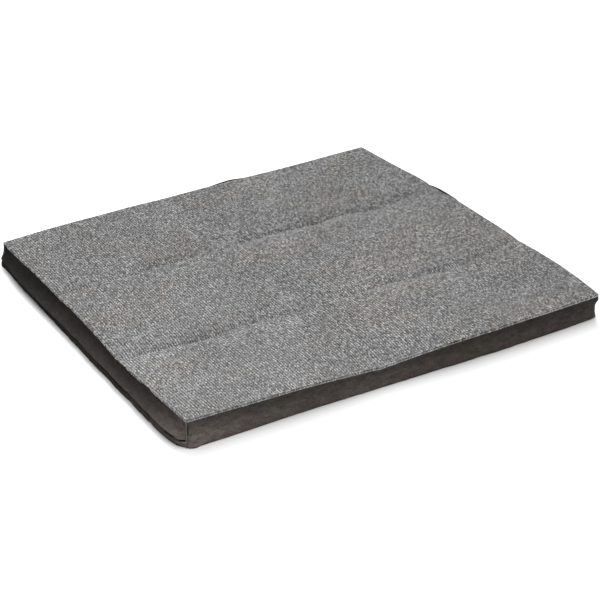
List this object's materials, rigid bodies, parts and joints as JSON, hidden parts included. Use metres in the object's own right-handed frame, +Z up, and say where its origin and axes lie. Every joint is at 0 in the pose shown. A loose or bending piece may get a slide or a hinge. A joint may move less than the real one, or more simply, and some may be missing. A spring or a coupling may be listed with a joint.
{
  "type": "laptop cooling pad",
  "caption": "Flat boxed fabric pad with a ribbed felt top and a lapped side zip, built around heat-absorbing packs on foam, that a laptop rests on.",
  "frame": {"origin": "centre of the base, on the surface that the pad lies on", "axes": "+X to the right along the front edge, +Y to the back, +Z up out of the felt top; the zip is in the -X wall"},
  "size_m": [0.42, 0.378, 0.0226],
  "materials": {
    "felt": "light grey heathered ribbed needle felt, matte",
    "cover_cloth": "dark brown-black plain cloth, matte",
    "zip_tape": "dark woven tape, matte",
    "zip_nylon": "dark moulded nylon, satin",
    "zip_metal": "dark nickel-plated, satin",
    "board": "matte",
    "foam": "open-cell foam, matte",
    "liner_cloth": "thin non-woven lining, matte",
    "pack_film": "filled film pouch, satin",
    "foil": "satin foil"
  },
  "bodies": {
    "pad": {"top_panel": "felt", "base_panel": "cover_cloth", "front_border": "cover_cloth", "right_border": "cover_cloth", "back_border": "cover_cloth", "left_border_upper": "cover_cloth", "left_border_lower": "cover_cloth", "corner_seam_front_left": "cover_cloth", "corner_seam_front_right": "cover_cloth", "corner_seam_back_right": "cover_cloth", "corner_seam_back_left": "cover_cloth", "zip_tape_upper": "zip_tape", "zip_tape_lower": "zip_tape", "zip_coil_upper": "zip_nylon", "zip_coil_lower": "zip_nylon", "zip_stop_front": "zip_metal", "zip_stop_back": "zip_metal", "stiffener_board": "board", "foam_core": "foam", "pocket_liner_bottom": "liner_cloth", "pocket_liner_top": "liner_cloth", "row_divider_back": "liner_cloth", "row_divider_front": "liner_cloth", "column_divider_back": "liner_cloth", "column_divider_middle": "liner_cloth", "column_divider_front": "liner_cloth", "cooling_pack_back_left": "pack_film", "cooling_pack_back_right": "pack_film", "cooling_pack_middle_left": "pack_film", "cooling_pack_middle_right": "pack_film", "cooling_pack_front_left": "pack_film", "cooling_pack_front_right": "pack_film", "heat_spreader": "foil"},
    "slider": {"zip_slider": "zip_metal"},
    "pull": {"zip_pull": "zip_metal"}
  },
  "joints": [
    {"name": "zip_slide", "type": "slide", "parent": "pad", "child": "slider", "axis": [0, -1, 0], "range_m": [0, 0.326]},
    {"name": "pull_swing", "type": "hinge", "parent": "slider", "child": "pull", "pos_m": [-0.2086, 0.17, 0.0062], "axis": [0, 0, -1], "range_deg": [0, 170]}
  ]
}
